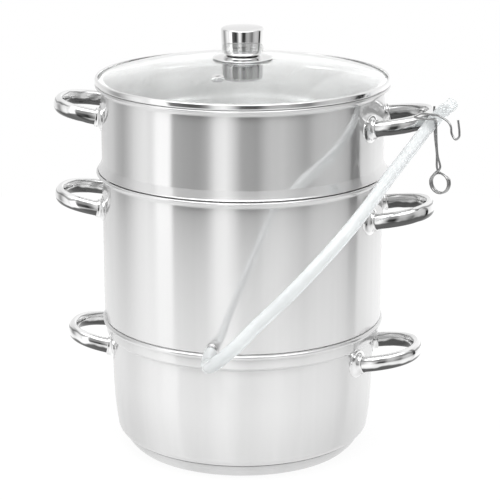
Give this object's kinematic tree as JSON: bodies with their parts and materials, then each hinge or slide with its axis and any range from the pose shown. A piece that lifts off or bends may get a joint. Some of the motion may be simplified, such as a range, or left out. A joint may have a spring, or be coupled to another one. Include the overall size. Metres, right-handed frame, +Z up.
{
  "type": "steam juicer",
  "caption": "Three-tier hob steam juicer: water pot, juice kettle with steam funnel, spout and clamped hose, fruit basket with pierced floor, and a domed glass lid",
  "frame": {"origin": "on the axis of the pots, in the plane of the flat base", "axes": "+Z up along the axis of the pots, +X towards the right handle of the juice kettle, -Y towards the drain spout"},
  "size_m": [0.3815, 0.3471, 0.3969],
  "materials": {
    "polished_steel": "mirror polished stainless steel sheet",
    "chrome": "bright polished tube and fittings",
    "aluminium": "plain cast disc inside the base",
    "glass": "clear tempered glass",
    "silicone": "clear silicone rubber, glossy",
    "wire": "drawn spring-steel wire"
  },
  "bodies": {
    "water_pot": {"water_pot_body": "polished_steel", "base_capsule": "polished_steel", "base_core": "aluminium", "pot_handle_right": "chrome", "pot_handle_right_mount_rear": "chrome", "pot_handle_right_mount_front": "chrome", "pot_handle_left": "chrome", "pot_handle_left_mount_rear": "chrome", "pot_handle_left_mount_front": "chrome"},
    "juice_kettle": {"juice_kettle_body": "polished_steel", "steam_funnel": "polished_steel", "drain_spout": "polished_steel", "kettle_handle_right": "chrome", "kettle_handle_right_mount_rear": "chrome", "kettle_handle_right_mount_front": "chrome", "kettle_handle_left": "chrome", "kettle_handle_left_mount_rear": "chrome", "kettle_handle_left_mount_front": "chrome", "drain_hose": "silicone", "clamp_spring": "wire"},
    "fruit_basket": {"fruit_basket_body": "polished_steel", "basket_handle_right": "chrome", "basket_handle_right_mount_rear": "chrome", "basket_handle_right_mount_front": "chrome", "basket_handle_left": "chrome", "basket_handle_left_mount_rear": "chrome", "basket_handle_left_mount_front": "chrome"},
    "lid": {"lid_glass": "glass", "lid_band": "polished_steel", "lid_knob": "chrome", "knob_escutcheon": "chrome", "knob_screw": "polished_steel", "knob_washer": "silicone", "vent_grommet": "polished_steel"},
    "clamp_lever": {"clamp_lever": "wire"}
  },
  "joints": [
    {"name": "kettle_lift", "type": "slide", "parent": "water_pot", "child": "juice_kettle", "axis": [0, 0, 1], "range_m": [0, 0.06]},
    {"name": "basket_lift", "type": "slide", "parent": "juice_kettle", "child": "fruit_basket", "axis": [0, 0, 1], "range_m": [0, 0.06]},
    {"name": "lid_lift", "type": "slide", "parent": "fruit_basket", "child": "lid", "axis": [0, 0, 1], "range_m": [0, 0.06]},
    {"name": "clamp_opening", "type": "hinge", "parent": "juice_kettle", "child": "clamp_lever", "pos_m": [0.1848, -0.03737, 0.26609], "axis": [0.5283, 0.8491, 0], "range_deg": [0, 25], "stiffness_Nm_per_rad": 0.1}
  ]
}
